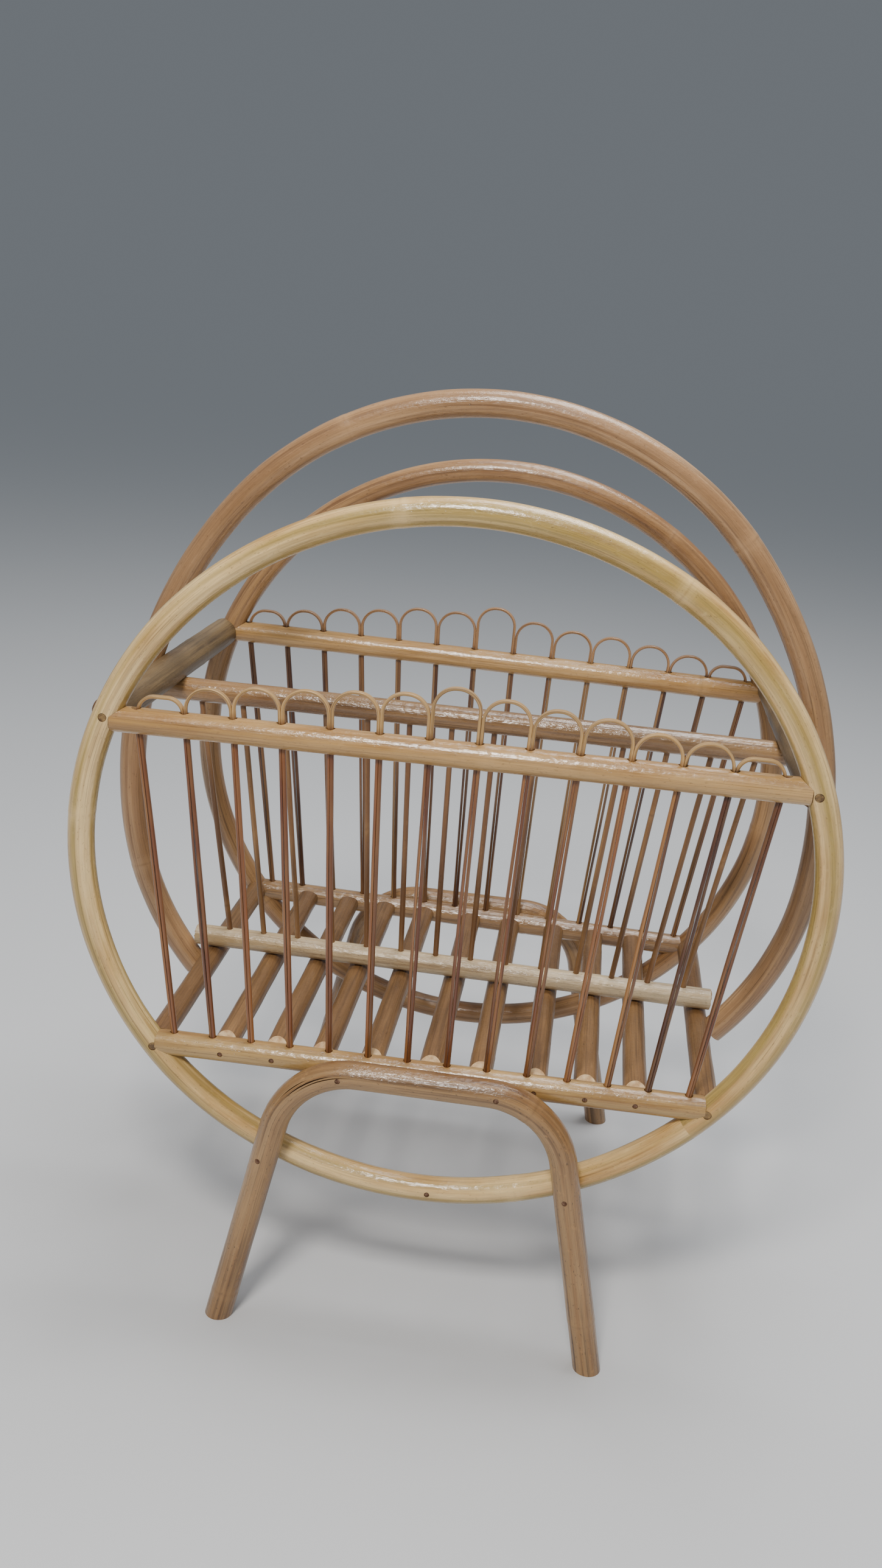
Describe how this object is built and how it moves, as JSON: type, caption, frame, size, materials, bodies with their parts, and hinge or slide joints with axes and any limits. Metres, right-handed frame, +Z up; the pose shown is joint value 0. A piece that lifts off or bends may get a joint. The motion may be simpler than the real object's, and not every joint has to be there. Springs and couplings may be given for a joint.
{
  "type": "magazine rack",
  "caption": "Round-sided cane magazine rack on two bent legs, with two compartments between rows of looped strips and rods, and a tall middle arch to carry it by.",
  "frame": {"origin": "on the floor, under the middle of the rack", "axes": "+X along the rails, +Y from front to back, +Z up"},
  "size_m": [0.447, 0.2932, 0.5404],
  "materials": {
    "pale_hoop_cane": "varnished",
    "tan_hoop_cane": "varnished",
    "arch_cane": "varnished",
    "top_rail_cane": "varnished",
    "low_rail_cane": "varnished",
    "peeled_cane": "satin",
    "bar_cane": "matte",
    "slat_cane": "matte",
    "leg_cane": "satin, scuffed",
    "strip_cane": "gloss",
    "rod_cane": "satin",
    "plug_wood": "matte",
    "fastener_steel": "dulled"
  },
  "bodies": {
    "root": {"arch_nails": "fastener_steel", "front_bottom_rail": "low_rail_cane", "front_end_fillers": "strip_cane", "front_hoop": "pale_hoop_cane", "front_leg": "leg_cane", "front_strip_01": "strip_cane", "front_strip_02": "strip_cane", "front_strip_03": "strip_cane", "front_strip_04": "strip_cane", "front_strip_05": "strip_cane", "front_strip_06": "strip_cane", "front_strip_07": "strip_cane", "front_strip_08": "strip_cane", "front_strip_09": "strip_cane", "front_strip_10": "strip_cane", "front_strip_11": "strip_cane", "front_strip_12": "strip_cane", "front_strip_13": "strip_cane", "front_top_rail": "top_rail_cane", "hoop_plugs": "plug_wood", "hoop_screws": "fastener_steel", "left_cross_bar": "bar_cane", "leg_nails": "fastener_steel", "middle_arch": "arch_cane", "middle_bottom_rail": "peeled_cane", "middle_rods": "rod_cane", "middle_top_rail": "top_rail_cane", "rear_bottom_rail": "low_rail_cane", "rear_end_fillers": "strip_cane", "rear_hoop": "tan_hoop_cane", "rear_leg": "leg_cane", "rear_strip_01": "strip_cane", "rear_strip_02": "strip_cane", "rear_strip_03": "strip_cane", "rear_strip_04": "strip_cane", "rear_strip_05": "strip_cane", "rear_strip_06": "strip_cane", "rear_strip_07": "strip_cane", "rear_strip_08": "strip_cane", "rear_strip_09": "strip_cane", "rear_strip_10": "strip_cane", "rear_strip_11": "strip_cane", "rear_strip_12": "strip_cane", "rear_strip_13": "strip_cane", "rear_top_rail": "top_rail_cane", "right_cross_bar": "bar_cane", "scarf_nails": "fastener_steel", "slat_01": "slat_cane", "slat_02": "slat_cane", "slat_03": "slat_cane", "slat_04": "slat_cane", "slat_05": "slat_cane", "slat_06": "slat_cane", "slat_07": "slat_cane", "slat_08": "slat_cane", "slat_09": "slat_cane", "slat_10": "slat_cane", "slat_11": "slat_cane", "slat_nails": "fastener_steel"}
  },
  "joints": []
}
